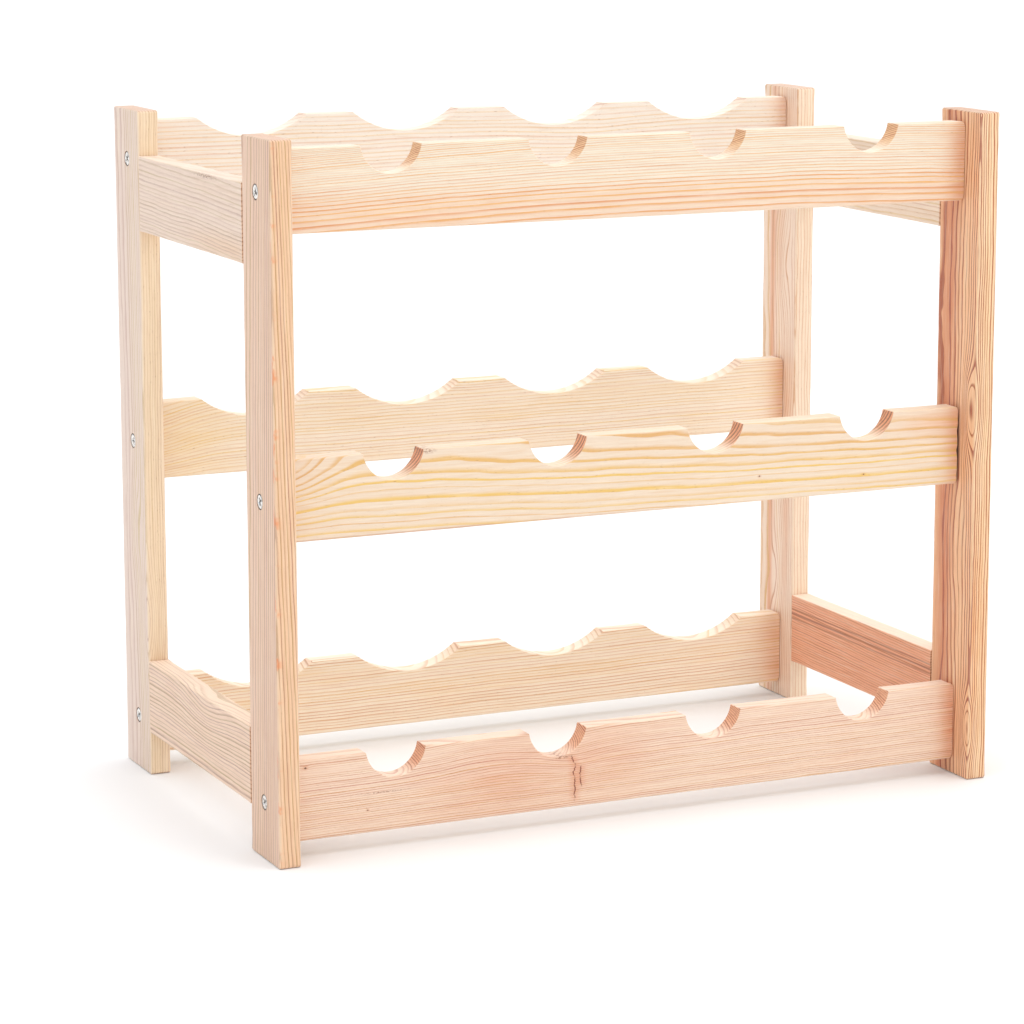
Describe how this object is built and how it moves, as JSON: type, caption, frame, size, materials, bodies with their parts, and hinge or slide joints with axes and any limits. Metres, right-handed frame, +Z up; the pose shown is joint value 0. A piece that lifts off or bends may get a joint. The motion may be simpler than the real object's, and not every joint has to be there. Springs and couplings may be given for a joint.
{
  "type": "wine rack",
  "caption": "Open pine wine rack: posts joined by notched front rails and scooped rear rails in stacked tiers, each holding lying bottles neck to the front.",
  "frame": {"origin": "middle of the 430 mm by 250 mm footprint, on the surface that the rack stands on", "axes": "+X to the right along the rails, +Y to the back, +Z up; the neck notches face -Y"},
  "size_m": [0.43, 0.25, 0.38],
  "materials": {
    "post_front_left": "planed and sanded pine, unvarnished",
    "post_front_right": "planed and sanded pine, unvarnished",
    "post_rear_left": "planed and sanded pine, unvarnished",
    "post_rear_right": "planed and sanded pine, unvarnished",
    "rail_front_top": "planed and sanded pine, unvarnished",
    "rail_front_middle": "planed and sanded pine, unvarnished",
    "rail_front_bottom": "planed and sanded pine, unvarnished",
    "rail_rear_top": "planed and sanded pine, unvarnished",
    "rail_rear_middle": "planed and sanded pine, unvarnished",
    "rail_rear_bottom": "planed and sanded pine, unvarnished",
    "side_rail_left_top": "planed and sanded pine, unvarnished",
    "side_rail_left_bottom": "planed and sanded pine, unvarnished",
    "side_rail_right_top": "planed and sanded pine, unvarnished",
    "side_rail_right_bottom": "planed and sanded pine, unvarnished",
    "screw_zinc": "bright zinc plate",
    "dowel_beech": "raw beech"
  },
  "bodies": {
    "root": {"post_front_left": "post_front_left", "post_front_right": "post_front_right", "post_rear_left": "post_rear_left", "post_rear_right": "post_rear_right", "rail_front_top": "rail_front_top", "rail_front_middle": "rail_front_middle", "rail_front_bottom": "rail_front_bottom", "rail_rear_top": "rail_rear_top", "rail_rear_middle": "rail_rear_middle", "rail_rear_bottom": "rail_rear_bottom", "side_rail_left_top": "side_rail_left_top", "side_rail_left_bottom": "side_rail_left_bottom", "side_rail_right_top": "side_rail_right_top", "side_rail_right_bottom": "side_rail_right_bottom", "screws_front_left": "screw_zinc", "screws_front_right": "screw_zinc", "screws_rear_left": "screw_zinc", "screws_rear_right": "screw_zinc", "rail_dowels_front_top": "dowel_beech", "rail_dowels_front_middle": "dowel_beech", "rail_dowels_front_bottom": "dowel_beech", "rail_dowels_rear_top": "dowel_beech", "rail_dowels_rear_middle": "dowel_beech", "rail_dowels_rear_bottom": "dowel_beech", "side_dowels_left_top": "dowel_beech", "side_dowels_left_bottom": "dowel_beech", "side_dowels_right_top": "dowel_beech", "side_dowels_right_bottom": "dowel_beech"}
  },
  "joints": []
}
